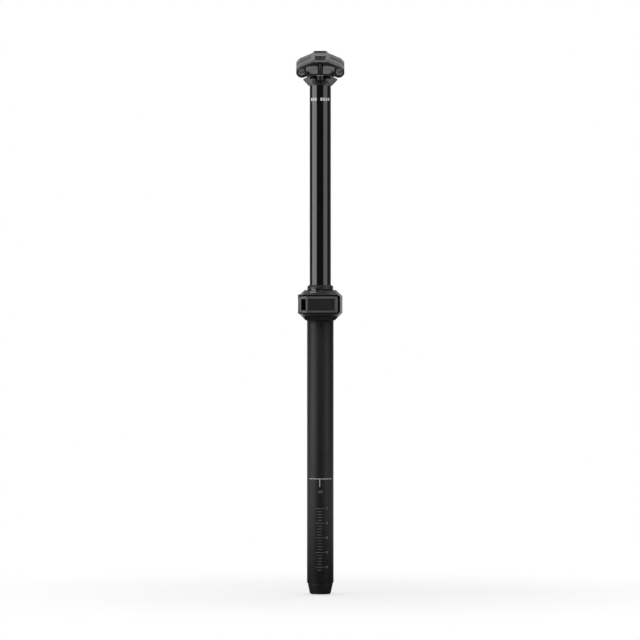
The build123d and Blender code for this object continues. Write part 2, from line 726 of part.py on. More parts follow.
with BuildPart() as outer_tube:
    with BuildSketch(Plane.XY.offset(tube_bottom)):
        Circle(insert_radius)
        Circle(insert_bore, mode=Mode.SUBTRACT)
    extrude(amount=insert_length)
    with BuildSketch(Plane.XY):
        Circle(neck_radius)
        Circle(insert_bore, mode=Mode.SUBTRACT)
    extrude(amount=tube_rise)
    with BuildSketch(Plane.XY.offset(foot_top)):
        with PolarLocations(key_offset, key_count, start_angle=key_first_angle):
            Circle(key_radius + running_gap)
    extrude(amount=key_groove_top - foot_top, mode=Mode.SUBTRACT)
    with BuildSketch(Plane.XY.offset(tube_bottom)):
        Circle(insert_bore + cable_groove)
        Circle(insert_bore - running_gap, mode=Mode.SUBTRACT)
        with Locations((0, -insert_radius)):
            Rectangle(cable_width + 2 * free_gap, insert_radius, mode=Mode.INTERSECT)
    extrude(amount=insert_length + board_floor, mode=Mode.SUBTRACT)
    with BuildSketch(Plane.XY.offset(board_floor)):
        with Locations((0, -insert_radius)):
            Rectangle(cable_width + 2 * free_gap, insert_radius)
    extrude(amount=-2 * cable_thickness, mode=Mode.SUBTRACT)
    chamfer(outer_tube.faces().sort_by(Axis.Z)[0].edges().sort_by(SortBy.LENGTH)[-1],
            tube_chamfer)
outer_tube.part.label = "outer_tube"
export_step(outer_tube.part, "parts/outer_tube.step")

# Flat cable: up the tube's groove, with a tab at the board and one at the actuator
cable_depth = (insert_bore + insert_bore + cable_groove) / 2
with BuildPart() as flat_cable:
    with BuildSketch(Plane.XY.offset(cable_foot)):
        Circle(cable_depth + cable_thickness / 2)
        Circle(cable_depth - cable_thickness / 2, mode=Mode.SUBTRACT)
        with Locations((0, -insert_radius)):
            Rectangle(cable_width, insert_radius, mode=Mode.INTERSECT)
    extrude(amount=board_floor - cable_foot)
    with BuildSketch(Plane.XY.offset(board_floor)):
        with Locations((0, -cable_depth - tab_length / 2)):
            Rectangle(cable_width, tab_length)
    extrude(amount=-cable_thickness)
    with BuildSketch(Plane.XY.offset(cable_foot)):
        with Locations((0, -cable_depth + tab_length / 2 + cable_thickness)):
            Rectangle(cable_width, tab_length)
    extrude(amount=cable_thickness)
flat_cable.part.label = "flat_cable"
export_step(flat_cable.part, "parts/flat_cable.step")

# Upper bushing and the foam ring above it, in the tube's mouth
upper_guide_bottom = 2.0
upper_guide_length = 20.0
foam_height = 3.6
with BuildPart() as upper_bushing:
    with BuildSketch(Plane.XY.offset(upper_guide_bottom)):
        Circle(insert_bore)
        Circle(post_radius + running_gap, mode=Mode.SUBTRACT)
    extrude(amount=upper_guide_length)
upper_bushing.part.label = "upper_bushing"
export_step(upper_bushing.part, "parts/upper_bushing.step")

foam_bottom = upper_guide_bottom + upper_guide_length
with BuildPart() as foam_ring:
    with BuildSketch(Plane.XY.offset(foam_bottom)):
        Circle(insert_bore)
        Circle(post_radius + running_gap, mode=Mode.SUBTRACT)
    extrude(amount=foam_height)
foam_ring.part.label = "foam_ring"
export_step(foam_ring.part, "parts/foam_ring.step")

# Collar cap: threads into the tube's mouth and carries the wiper seal
cap_radius = 15.1
cap_crown = 1.2
cap_foot = 0.7
cap_bore = post_radius + free_gap
wiper_radius = 13.4
wiper_height = 6.7
wiper_lip = 0.6
spigot_bottom = foam_bottom + foam_height
wiper_bottom = collar_top + wiper_lip - wiper_height
with BuildPart() as collar_cap:
    with BuildSketch(Plane.XY.offset(collar_height)):
        Circle(cap_radius)
    extrude(amount=cap_height)
    chamfer(collar_cap.faces().sort_by(Axis.Z)[-1].edges(), cap_crown)
    chamfer(collar_cap.faces().sort_by(Axis.Z)[0].edges(), cap_foot)
    with BuildSketch(Plane.XY.offset(spigot_bottom)):
        Circle(insert_bore)
    extrude(amount=collar_height - spigot_bottom)
    with BuildSketch(Plane.XY.offset(spigot_bottom)):
        Circle(cap_bore)
    extrude(amount=collar_top - spigot_bottom, mode=Mode.SUBTRACT)
    with BuildSketch(Plane.XY.offset(wiper_bottom)):
        Circle(wiper_radius)
    extrude(amount=collar_top - wiper_bottom, mode=Mode.SUBTRACT)
collar_cap.part.label = "collar_cap"
export_step(collar_cap.part, "parts/collar_cap.step")

with BuildPart() as wiper_seal:
    with BuildSketch(Plane.XY.offset(wiper_bottom)):
        Circle(wiper_radius)
    extrude(amount=wiper_height)
    chamfer(wiper_seal.faces().sort_by(Axis.Z)[-1].edges(), wiper_lip / 2, wiper_lip)
    with BuildSketch(Plane.XY.offset(wiper_bottom)):
        Circle(post_radius + running_gap)
    extrude(amount=wiper_height, mode=Mode.SUBTRACT)
wiper_seal.part.label = "wiper_seal"
export_step(wiper_seal.part, "parts/wiper_seal.step")

# Collar: an eight-sided housing, widest behind and drawn in towards its front face
collar_front = 33.0                       # front face ahead of the post's axis
collar_back = 19.5
collar_waist = 16.0                       # where the sides start to draw in
collar_draft = 8.7                        # degrees
side_low = 9.1
side_drop = 7.1
side_high = collar_height - side_drop
top_half = 18.3
foot_half = 16.9
slope_back = 22.5                         # top slope's upper edge ahead of the axis
slope_drop = 5.7
slope_low = collar_height - slope_drop
chin_back = 19.0
chin_low = 3.4
chin_high = 6.8
back_side = 5.0
back_half = 15.0
back_slope = 7.0
lug_radius = 1.95
hinge_x = -23.9
hinge_y = -22.0
knuckle_low = 14.4

# Battery, its pocket and its latch
battery_left = -17.3
battery_right = 20.3
battery_low = 8.8
pocket_drop = 6.1
pocket_high = collar_height - pocket_drop
battery_sink = 1.4
battery_high = pocket_high - battery_sink
knuckle_sink = 5.1
knuckle_high = pocket_high - knuckle_sink
battery_front = 33.7
battery_back = 17.6
battery_bevel = 1.1
pocket_right = 22.2
pocket_low = 8.0
pocket_back = 17.3
pocket_corner = 3.5
pocket_lip = 1.6                          # collar's wall left of the pocket
pocket_left = hinge_x + pocket_lip
latch_left = -23.9
latch_tip = -15.2
latch_face = 33.5
latch_plate = 2.2
latch_slope = 2.8
window_left = -21.8
window_right = -17.1
window_low = 12.1
window_sink = 3.4
window_high = battery_high - window_sink
latch_gap = 0.2

# Control board, light and button under the collar's top plate
cavity_half = 14.0
cavity_front = 25.6
cavity_back = 16.7
cover_half = 15.0
cover_thickness = 2.4
cover_floor = collar_height - cover_thickness
cover_front = 26.6
light_x = -8.0
light_half = 2.3
light_front = 25.2
light_back = 22.0
light_rise = 1.5
button_x = 1.5
button_y = -21.6
button_radius = 2.2
button_travel = 0.5
button_flange = 2.9
flange_thickness = 0.5
board_thickness = 0.8
chip_height = 0.7
switch_height = 0.5
latch_pin_radius = 1.0
knuckle_radius = 1.8
block_half_x = 6.0
block_half_z = 4.0

with BuildPart() as collar_hull:
    collar_outline = [(foot_half, 0), (collar_half, side_low), (collar_half, side_high),
                      (top_half, collar_height)]
    mirrored_outline = [(-x, z) for x, z in reversed(collar_outline)]
    with BuildSketch(Plane.XZ.offset(collar_waist)):
        with BuildLine():
            Polyline(*collar_outline, *mirrored_outline, close=True)
        make_face()
    extrude(amount=collar_front - collar_waist, taper=collar_draft)
    with BuildSketch(Plane.XZ.offset(collar_waist)):
        with BuildLine():
            Polyline(*collar_outline, *mirrored_outline, close=True)
        make_face()
    extrude(amount=-collar_waist - collar_back)
    with BuildSketch(Plane.YZ):
        with BuildLine():
            Polyline((-collar_front, chin_high), (-collar_front, slope_low),
                     (-slope_back, collar_height), (collar_back - back_slope, collar_height),
                     (collar_back, collar_height - back_slope), (collar_back, back_slope),
                     (collar_back - back_slope, 0), (-chin_back, 0), (-chin_back, chin_low),
                     close=True)
        make_face()
    extrude(amount=collar_half, both=True, mode=Mode.INTERSECT)
    with BuildSketch(Plane.XY):
        with BuildLine():
            Polyline((-collar_half, -collar_front), (collar_half, -collar_front),
                     (collar_half, back_side), (back_half, collar_back),
                     (-back_half, collar_back), (-collar_half, back_side), close=True)
        make_face()
    extrude(amount=collar_height, mode=Mode.INTERSECT)
    with BuildSketch(Plane.XY.offset(pocket_low)):
        with Locations((hinge_x, hinge_y)):
            Circle(lug_radius)
    extrude(amount=pocket_high - pocket_low + overrun / 2)

with BuildPart() as collar_body:
    add(collar_hull.part)
    with BuildSketch(Plane.XY):
        Circle(neck_radius)
    extrude(amount=collar_height, mode=Mode.SUBTRACT)
    with BuildSketch(Plane.XZ.offset(pocket_back)):
        with BuildLine():
            Polyline((pocket_left, pocket_low), (pocket_right, pocket_low),
                     (pocket_right, pocket_high), (pocket_left, pocket_high), close=True)
        pocket_face = make_face()
        fillet(pocket_face.vertices().group_by(Axis.X)[-1], pocket_corner)
    extrude(amount=collar_front, mode=Mode.SUBTRACT)
    with BuildSketch(Plane.XZ.offset(latch_face - latch_plate - 2 * latch_gap)):
        with BuildLine():
            Polyline((hinge_x - 2 * lug_radius, battery_low - free_gap),
                     (pocket_left, battery_low - free_gap), (window_right, pocket_low),
                     (window_right, pocket_high), (pocket_left, battery_high + free_gap),
                     (hinge_x - 2 * lug_radius, battery_high + free_gap), close=True)
        make_face()
    extrude(amount=collar_front, mode=Mode.SUBTRACT)
    with BuildSketch(Plane.XY.offset(knuckle_low - latch_gap)):
        with Locations((hinge_x, hinge_y)):
            Circle(knuckle_radius + latch_gap)
            Rectangle(knuckle_radius + latch_gap, collar_front,
                      align=(Align.MIN, Align.MAX))
            Rectangle(collar_half, collar_front, align=(Align.MAX, Align.MAX))
        with Locations((hinge_x, hinge_y)):
            Rectangle(collar_half, knuckle_radius + latch_gap, align=(Align.MAX, Align.MIN))
    extrude(amount=knuckle_high - knuckle_low + 2 * latch_gap, mode=Mode.SUBTRACT)
    with BuildSketch(Plane.XY.offset(pocket_low - latch_pin_radius)):
        with Locations((hinge_x, hinge_y)):
            Circle(latch_pin_radius)
    extrude(amount=pocket_high - pocket_low + 2 * latch_pin_radius, mode=Mode.SUBTRACT)
    with BuildSketch(Plane.XY.offset(board_floor)):
        with Locations((0, -(cavity_front + cavity_back) / 2)):
            Rectangle(2 * cavity_half, cavity_front - cavity_back)
        with Locations((0, -cavity_back)):
            Rectangle(cable_width + 2 * free_gap, 2 * tab_length)
    extrude(amount=collar_height, mode=Mode.SUBTRACT)
    with BuildSketch(Plane.XY.offset(board_floor - 2 * cable_thickness)):
        with Locations((0, -insert_radius)):
            Rectangle(cable_width + 2 * free_gap, 2 * tab_length)
    extrude(amount=2 * cable_thickness, mode=Mode.SUBTRACT)
    with BuildSketch(Plane.XY.offset(cover_floor)):
        with Locations((0, -(cover_front + cavity_back) / 2)):
            Rectangle(2 * cover_half, cover_front - cavity_back)
    extrude(amount=collar_height, mode=Mode.SUBTRACT)
    block_z = (battery_low + battery_high) / 2
    with BuildSketch(Plane.XZ.offset(pocket_back)):
        with Locations((0, block_z)):
            Rectangle(2 * block_half_x, 2 * block_half_z)
    extrude(amount=-pocket_back, mode=Mode.SUBTRACT)
    with BuildSketch(Plane.XY.offset(block_z)):
        with Locations((0, -neck_radius)):
            Rectangle(cable_width, 4 * cable_thickness)
    extrude(amount=board_floor - block_z, mode=Mode.SUBTRACT)
collar_body.part.label = "collar_body"
export_step(collar_body.part, "parts/collar_body.step")

with BuildPart() as electronics_cover:
    with BuildSketch(Plane.XY.offset(cover_floor)):
        with Locations((0, -(cover_front + cavity_back) / 2)):
            Rectangle(2 * cover_half, cover_front - cavity_back)
        with Locations((light_x, -(light_front + light_back) / 2)):
            Rectangle(2 * light_half, light_front - light_back, mode=Mode.SUBTRACT)
        with Locations((button_x, button_y)):
            Circle(button_radius + running_gap, mode=Mode.SUBTRACT)
    extrude(amount=collar_height - cover_floor)
    add(collar_hull.part, mode=Mode.INTERSECT)
electronics_cover.part.label = "electronics_cover"
export_step(electronics_cover.part, "parts/electronics_cover.step")

board_top = board_floor + board_thickness
with BuildPart() as status_light:
    with BuildSketch(Plane.XY.offset(board_top)):
        with Locations((light_x, -(light_front + light_back) / 2)):
            Rectangle(2 * light_half, light_front - light_back)
    extrude(amount=collar_height + light_rise - board_top)
    chamfer(status_light.faces().sort_by(Axis.Z)[-1].edges(), free_gap)
status_light.part.label = "status_light"
export_step(status_light.part, "parts/status_light.step")

with BuildPart() as control_board:
    with BuildSketch(Plane.XY.offset(board_floor)):
        with Locations((0, -(cavity_front + cavity_back) / 2)):
            Rectangle(2 * (cavity_half - free_gap), cavity_front - cavity_back - 2 * free_gap)
    extrude(amount=board_thickness)
    with BuildSketch(Plane.XY.offset(board_top)):
        with GridLocations(cavity_half, 0, 2, 1):
            with Locations((overrun, -cavity_back - tab_length)):
                Rectangle(2 * tab_length, tab_length)
    extrude(amount=chip_height)
    with BuildSketch(Plane.XY.offset(board_top)):
        with Locations((button_x, button_y)):
            Circle(button_radius - switch_height)
    extrude(amount=switch_height)
control_board.part.label = "control_board"
export_step(control_board.part, "parts/control_board.step")

button_bottom = board_top + switch_height + button_travel + running_gap
with BuildPart() as function_button:
    with BuildSketch(Plane.XY.offset(button_bottom)):
        with Locations((button_x, button_y)):
            Circle(button_flange)
    extrude(amount=flange_thickness)
    with BuildSketch(Plane.XY.offset(button_bottom)):
        with Locations((button_x, button_y)):
            Circle(button_radius)
    extrude(amount=collar_height - button_bottom - free_gap)
    chamfer(function_button.faces().sort_by(Axis.Z)[-1].edges(), free_gap)
function_button.part.label = "function_button"
export_step(function_button.part, "parts/function_button.step")

# Contacts behind the battery, with their gasket and the strip that leads to the board
contact_count = 4
contact_pitch = 2.6
contact_radius = 0.7
gasket_width = 1.2
with BuildPart() as contact_block:
    with BuildSketch(Plane.XZ.offset(pocket_back)):
        with Locations((0, block_z)):
            Rectangle(2 * block_half_x, 2 * block_half_z)
            with GridLocations(contact_pitch, contact_pitch, contact_count, 1):
                Circle(contact_radius, mode=Mode.SUBTRACT)
    extrude(amount=-pocket_back)
    with BuildSketch(Plane.XY.offset(block_z - 2 * block_half_z)):
        Circle(neck_radius)
    extrude(amount=4 * block_half_z, mode=Mode.SUBTRACT)
    with BuildSketch(Plane.XY.offset(block_z)):
        with Locations((0, -neck_radius)):
            Rectangle(cable_width, 4 * cable_thickness)
    extrude(amount=2 * block_half_z, mode=Mode.SUBTRACT)
contact_block.part.label = "contact_block"
export_step(contact_block.part, "parts/contact_block.step")

with BuildPart() as battery_contacts:
    with BuildSketch(Plane.XZ.offset(neck_radius + 3 * cable_thickness)):
        with Locations((0, block_z)):
            with GridLocations(contact_pitch, contact_pitch, contact_count, 1):
                Circle(contact_radius)
    extrude(amount=battery_back - running_gap - neck_radius - 3 * cable_thickness)
battery_contacts.part.label = "battery_contacts"
export_step(battery_contacts.part, "parts/battery_contacts.step")

with BuildPart() as power_strip:
    with BuildSketch(Plane.XY.offset(block_z)):
        with Locations((0, -neck_radius - 3 * cable_thickness / 2)):
            Rectangle(cable_width, cable_thickness)
    extrude(amount=board_floor - block_z - 2 * cable_thickness)
power_strip.part.label = "power_strip"
export_step(power_strip.part, "parts/power_strip.step")

with BuildPart() as contact_gasket:
    with BuildSketch(Plane.XZ.offset(pocket_back)):
        with Locations((0, block_z)):
            RectangleRounded(2 * (block_half_x + gasket_width),
                             2 * (block_half_z + gasket_width), gasket_width)
            RectangleRounded(2 * block_half_x, 2 * block_half_z, gasket_width / 2,
                             mode=Mode.SUBTRACT)
    extrude(amount=battery_back - running_gap - pocket_back)
contact_gasket.part.label = "contact_gasket"
export_step(contact_gasket.part, "parts/contact_gasket.step")

# Battery: a block with a bevelled rim, a sunk panel and a step that the latch holds
panel_left = -13.9
panel_right = 16.5
panel_margin = 2.7
panel_depth = 0.6
panel_taper = 40.0                        # degrees
step_x = -15.0
with BuildPart() as battery:
    with BuildSketch(Plane.XZ.offset(battery_back)):
        with BuildLine():
            Polyline((battery_left, battery_low), (battery_right, battery_low),
                     (battery_right, battery_high), (battery_left, battery_high), close=True)
        make_face()
    extrude(amount=battery_front - battery_back)
    fillet(battery.edges().filter_by(Axis.Y).group_by(Axis.X)[-1], overrun)
    chamfer(battery.faces().sort_by(Axis.Y)[0].edges(), battery_bevel)
    with BuildSketch(Plane.XZ.offset(battery_front)):
        with Locations(((panel_left + panel_right) / 2, block_z)):
            RectangleRounded(panel_right - panel_left,
                             battery_high - battery_low - 2 * panel_margin, battery_bevel)
    extrude(amount=-panel_depth, taper=-panel_taper, mode=Mode.SUBTRACT)
    with BuildSketch(Plane.XZ.offset(latch_face - latch_plate - latch_gap)):
        with Locations((step_x, block_z)):
            Rectangle(collar_half, collar_height, align=(Align.MAX, Align.CENTER))
    extrude(amount=collar_front, mode=Mode.SUBTRACT)
battery.part.label = "battery"
export_step(battery.part, "parts/battery.step")

# Latch: a knuckle on its pin, an arm and a plate with a finger window
with BuildPart() as battery_latch:
    with BuildSketch(Plane.XY.offset(knuckle_low)):
        with Locations((hinge_x, hinge_y)):
            Circle(knuckle_radius)
        with Locations((latch_left, hinge_y)):
            Rectangle(latch_plate, latch_face + hinge_y, align=(Align.MIN, Align.MAX))
    extrude(amount=knuckle_high - knuckle_low)
    with BuildSketch(Plane.XZ.offset(latch_face - latch_plate)):
        with BuildLine():
            Polyline((latch_tip, battery_low), (latch_tip, battery_high),
                     (latch_left + latch_slope, battery_high),
                     (latch_left, battery_high - latch_slope),
                     (latch_left, battery_low + latch_slope),
                     (latch_left + latch_slope, battery_low), close=True)
        make_face()
    extrude(amount=latch_plate)
    chamfer(battery_latch.faces().sort_by(Axis.Y)[0].edges(), latch_plate / 4)
    with BuildSketch(Plane.XZ):
        with BuildLine():
            Polyline((window_left, window_low), (window_right, window_low),
                     (window_right, window_high), (window_left, window_high), close=True)
        make_face()
    extrude(amount=2 * collar_front, mode=Mode.SUBTRACT)
    with BuildSketch(Plane.XY.offset(knuckle_low)):
        with Locations((hinge_x, hinge_y)):
            Circle(latch_pin_radius + running_gap)
    extrude(amount=knuckle_high - knuckle_low, mode=Mode.SUBTRACT)
battery_latch.part.label = "battery_latch"
export_step(battery_latch.part, "parts/battery_latch.step")

with BuildPart() as latch_pin:
    with BuildSketch(Plane.XY.offset(pocket_low - latch_pin_radius)):
        with Locations((hinge_x, hinge_y)):
            Circle(latch_pin_radius)
    extrude(amount=pocket_high - pocket_low + 2 * latch_pin_radius)
latch_pin.part.label = "latch_pin"
export_step(latch_pin.part, "parts/latch_pin.step")

# Foot of the rod, its bumper, and the actuator that lifts the push rod
spigot_depth = 4.8
base_cap_top = 14.6
base_cap_bottom = 12.3
base_cap_height = 12.4
base_cap_bevel = 1.2
base_cap_bore = 10.2
base_cap_floor = 2.4
notch_width = 5.6
notch_height = 1.6
notch_count = 4
notch_angle = 240.0
bracket_thickness = 2.0
screw_count = 3
screw_circle = 7.6
screw_radius = 1.2
screw_head_radius = 2.0
screw_head_height = 1.6
screw_bite = 2.0
screw_angle = 60.0
standoff_radius = 2.2
gearbox_radius = 5.4
gearbox_length = 4.4
motor_radius = 5.0
lead_radius = 1.2
lead_rise = 4.3
lead_sink = 1.5
carriage_radius = 3.4
carriage_height = 3.6
guide_x = 5.3
guide_radius = 0.9
lobe_radius = 2.2

bracket_top = foot_bottom - bracket_gap
bracket_bottom = bracket_top - bracket_thickness
with BuildPart() as rod_foot:
    with BuildSketch(Plane.XY.offset(foot_bottom)):
        Circle(insert_bore)
        Circle(rod_radius, mode=Mode.SUBTRACT)
    extrude(amount=foot_height)
    with BuildSketch(Plane.XY.offset(foot_bottom)):
        with PolarLocations(screw_circle, screw_count, start_angle=screw_angle):
            Circle(screw_radius)
    extrude(amount=screw_bite, mode=Mode.SUBTRACT)
rod_foot.part.label = "rod_foot"
export_step(rod_foot.part, "parts/rod_foot.step")

with BuildPart() as bottom_out_bumper:
    with BuildSketch(Plane.XY.offset(foot_top)):
        Circle(post_radius)
        Circle(rod_radius + free_gap, mode=Mode.SUBTRACT)
    extrude(amount=bumper_height)
    chamfer(bottom_out_bumper.faces().sort_by(Axis.Z)[-1].edges(), ring_lip / 2)
bottom_out_bumper.part.label = "bottom_out_bumper"
export_step(bottom_out_bumper.part, "parts/bottom_out_bumper.step")

with BuildPart() as push_rod_seal:
    with BuildSketch(Plane.XY.offset(foot_bottom)):
        Circle(rod_bore)
        Circle(push_radius + running_gap, mode=Mode.SUBTRACT)
    extrude(amount=rod_bore)
push_rod_seal.part.label = "push_rod_seal"
export_step(push_rod_seal.part, "parts/push_rod_seal.step")

with BuildPart() as actuator_bracket:
    with BuildSketch(Plane.XY.offset(bracket_bottom)):
        Circle(insert_bore - running_gap)
        Circle(lead_radius + free_gap, mode=Mode.SUBTRACT)
        with PolarLocations(screw_circle, screw_count, start_angle=screw_angle):
            Circle(screw_radius, mode=Mode.SUBTRACT)
    extrude(amount=bracket_thickness)
    with BuildSketch(Plane.XY.offset(bracket_bottom)):
        with Locations((guide_x, 0)):
            Circle(guide_radius)
    extrude(amount=foot_bottom - bracket_bottom)
actuator_bracket.part.label = "actuator_bracket"
export_step(actuator_bracket.part, "parts/actuator_bracket.step")

with BuildPart() as bracket_standoffs:
    with BuildSketch(Plane.XY.offset(bracket_top)):
        with PolarLocations(screw_circle, screw_count, start_angle=screw_angle):
            Circle(standoff_radius)
            Circle(screw_radius, mode=Mode.SUBTRACT)
    extrude(amount=bracket_gap)
bracket_standoffs.part.label = "bracket_standoffs"
export_step(bracket_standoffs.part, "parts/bracket_standoffs.step")

with BuildPart() as bracket_screws:
    with BuildSketch(Plane.XY.offset(bracket_bottom)):
        with PolarLocations(screw_circle, screw_count, start_angle=screw_angle):
            Circle(screw_head_radius)
    extrude(amount=-screw_head_height)
    with BuildSketch(Plane.XY.offset(bracket_bottom - screw_head_height)):
        with PolarLocations(screw_circle, screw_count, start_angle=screw_angle):
            RegularPolygon(screw_radius, hex_sides)
    extrude(amount=screw_head_height / 2, mode=Mode.SUBTRACT)
    with BuildSketch(Plane.XY.offset(bracket_bottom)):
        with PolarLocations(screw_circle, screw_count, start_angle=screw_angle):
            Circle(screw_radius)
    extrude(amount=foot_bottom + screw_bite - bracket_bottom)
bracket_screws.part.label = "bracket_screws"
export_step(bracket_screws.part, "parts/bracket_screws.step")

with BuildPart() as actuator_gearbox:
    with BuildSketch(Plane.XY.offset(bracket_bottom)):
        Circle(gearbox_radius)
    extrude(amount=-gearbox_length)
    with BuildSketch(Plane.XY.offset(bracket_bottom)):
        Circle(lead_radius + running_gap)
    extrude(amount=-lead_sink - running_gap, mode=Mode.SUBTRACT)
actuator_gearbox.part.label = "actuator_gearbox"
export_step(actuator_gearbox.part, "parts/actuator_gearbox.step")

base_cap_end = tube_bottom - base_cap_height
motor_top = bracket_bottom - gearbox_length
motor_bottom = base_cap_end + base_cap_floor + free_gap
with BuildPart() as actuator_motor:
    with BuildSketch(Plane.XY.offset(motor_bottom)):
        Circle(motor_radius)
    extrude(amount=motor_top - motor_bottom)
    chamfer(actuator_motor.faces().sort_by(Axis.Z)[0].edges(), free_gap)
actuator_motor.part.label = "actuator_motor"
export_step(actuator_motor.part, "parts/actuator_motor.step")

with BuildPart() as lead_screw:
    with BuildSketch(Plane.XY.offset(bracket_bottom - lead_sink)):
        Circle(lead_radius)
        with Locations((0, lead_radius)):
            Rectangle(lead_radius, lead_radius / 2, mode=Mode.SUBTRACT)
    extrude(amount=lead_rise + lead_sink)
lead_screw.part.label = "lead_screw"
export_step(lead_screw.part, "parts/lead_screw.step")

carriage_bottom = bracket_top + free_gap
carriage_top = carriage_bottom + carriage_height - valve_lift / 2
with BuildPart() as valve_carriage:
    with BuildSketch(Plane.XY.offset(carriage_bottom)):
        Circle(carriage_radius)
        with Locations((guide_x, 0)):
            Circle(lobe_radius)
        with Locations((guide_x / 2, 0)):
            Rectangle(guide_x, 2 * lobe_radius)
        with Locations((guide_x, 0)):
            Circle(guide_radius + running_gap, mode=Mode.SUBTRACT)
    extrude(amount=carriage_top - carriage_bottom)
    with BuildSketch(Plane.XY.offset(carriage_bottom)):
        Circle(lead_radius + running_gap)
    extrude(amount=bracket_bottom + lead_rise + free_gap - carriage_bottom, mode=Mode.SUBTRACT)
valve_carriage.part.label = "valve_carriage"
export_step(valve_carriage.part, "parts/valve_carriage.step")

with BuildPart() as push_rod:
    with BuildSketch(Plane.XY.offset(carriage_top)):
        Circle(push_radius)
    extrude(amount=piston_top + running_gap - piston_height / 4 - carriage_top)
push_rod.part.label = "push_rod"
export_step(push_rod.part, "parts/push_rod.step")

# Bottom cap: closes the tube under the actuator, with four spanner notches in its rim
ring_low = tube_bottom + (spigot_depth - seal_width) / 2
with BuildPart() as bottom_cap:
    with BuildSketch(Plane.XZ):
        with BuildLine():
            Polyline((0, base_cap_end), (base_cap_bottom - base_cap_bevel, base_cap_end),
                     (base_cap_bottom, base_cap_end + base_cap_bevel),
                     (base_cap_top, tube_bottom), (insert_bore, tube_bottom),
                     (insert_bore, tube_bottom + spigot_depth),
                     (base_cap_bore, tube_bottom + spigot_depth),
                     (base_cap_bore, base_cap_end + base_cap_floor),
                     (0, base_cap_end + base_cap_floor), close=True)
        make_face()
    revolve(axis=Axis.Z)
    with BuildSketch(Plane.XY.offset(ring_low)):
        Circle(insert_bore)
        Circle(insert_bore - seal_width, mode=Mode.SUBTRACT)
    extrude(amount=seal_width, mode=Mode.SUBTRACT)
    with BuildSketch(Plane.XY.offset(base_cap_end)):
        with PolarLocations(base_cap_bottom, notch_count, start_angle=notch_angle):
            Rectangle(base_cap_bottom - base_cap_bore, notch_width)
    extrude(amount=notch_height, mode=Mode.SUBTRACT)
bottom_cap.part.label = "bottom_cap"
export_step(bottom_cap.part, "parts/bottom_cap.step")

with BuildPart() as bottom_cap_o_ring:
    with BuildSketch(Plane.XY.offset(ring_low)):
        Circle(insert_bore)
        Circle(insert_bore - seal_width, mode=Mode.SUBTRACT)
    extrude(amount=seal_width)
bottom_cap_o_ring.part.label = "bottom_cap_o_ring"
export_step(bottom_cap_o_ring.part, "parts/bottom_cap_o_ring.step")
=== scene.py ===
import bpy
import bmesh
import json
from math import cos, sin, pi, radians
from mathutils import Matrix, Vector


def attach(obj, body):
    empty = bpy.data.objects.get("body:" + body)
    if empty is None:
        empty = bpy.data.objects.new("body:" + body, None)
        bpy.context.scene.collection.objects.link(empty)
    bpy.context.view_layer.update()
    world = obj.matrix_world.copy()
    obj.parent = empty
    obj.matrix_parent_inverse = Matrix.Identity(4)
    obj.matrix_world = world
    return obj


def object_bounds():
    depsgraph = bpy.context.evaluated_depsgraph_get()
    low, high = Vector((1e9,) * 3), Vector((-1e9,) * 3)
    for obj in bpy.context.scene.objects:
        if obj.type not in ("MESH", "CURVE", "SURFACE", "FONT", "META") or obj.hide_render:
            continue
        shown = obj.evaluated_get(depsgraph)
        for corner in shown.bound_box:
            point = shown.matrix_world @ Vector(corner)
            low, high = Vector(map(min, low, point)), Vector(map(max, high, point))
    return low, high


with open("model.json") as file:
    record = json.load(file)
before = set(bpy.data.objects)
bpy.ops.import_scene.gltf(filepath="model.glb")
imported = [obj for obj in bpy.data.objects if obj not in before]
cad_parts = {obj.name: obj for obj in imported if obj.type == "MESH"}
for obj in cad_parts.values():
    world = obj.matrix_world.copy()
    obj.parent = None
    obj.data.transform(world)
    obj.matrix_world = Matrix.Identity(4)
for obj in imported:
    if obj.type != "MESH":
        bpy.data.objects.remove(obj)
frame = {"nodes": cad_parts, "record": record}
cad_box = [list(corner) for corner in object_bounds()]
scene = bpy.context.scene
nodes = frame["nodes"]

# All lengths are in metres. Camera: level with the collar and far off, as in the photograph
FIELD = 0.7435                    # width that the camera sees at the post
DISTANCE = 5.5
CAMERA_ASIDE = -0.00035
CAMERA_HEIGHT = 0.0006
SENSOR = 36.0                     # in millimetres
CLIP_END = 100.0
camera_data = bpy.data.cameras.new("camera")
camera_data.sensor_width = SENSOR
camera_data.lens = SENSOR * DISTANCE / FIELD
camera_data.clip_end = CLIP_END
camera = bpy.data.objects.new("camera", camera_data)
camera.location = (CAMERA_ASIDE, -DISTANCE, CAMERA_HEIGHT)
camera.rotation_euler = (pi / 2, 0, 0)
scene.collection.objects.link(camera)
scene.camera = camera
scene.view_settings.view_transform = "Standard"


# Short ways to add shader nodes. n and l are a node tree's nodes and links

def calc(n, l, operation, *values, clamp=False):
    """A maths node fed with numbers or sockets; gives its output."""
    step = n.new("ShaderNodeMath")
    step.operation = operation
    step.use_clamp = clamp
    for socket, value in zip(step.inputs, values):
        if isinstance(value, (int, float)):
            socket.default_value = value
        else:
            l.new(value, socket)
    return step.outputs[0]


def map_range(n, l, value, low, high, kind="LINEAR"):
    """0 where value is low and 1 where it is high."""
    step = n.new("ShaderNodeMapRange")
    step.interpolation_type = kind
    step.inputs["From Min"].default_value = low
    step.inputs["From Max"].default_value = high
    l.new(value, step.inputs["Value"])
    return step.outputs["Result"]


def mix_colour(n, l, share, a, b):
    """Colour a where share is 0 and b where it is 1; each is three numbers or a socket."""
    blend = n.new("ShaderNodeMix")
    blend.data_type = "RGBA"
    l.new(share, blend.inputs["Factor"])
    for name, value in (("A", a), ("B", b)):
        if isinstance(value, tuple):
            blend.inputs[name].default_value = (*value, 1)
        else:
            l.new(value, blend.inputs[name])
    return blend.outputs["Result"]


def position(n, l):
    """The X, Y and Z of the piece's own coordinates."""
    place = n.new("ShaderNodeTexCoord")
    parts = n.new("ShaderNodeSeparateXYZ")
    l.new(place.outputs["Object"], parts.inputs["Vector"])
    return [parts.outputs[axis] for axis in "XYZ"]


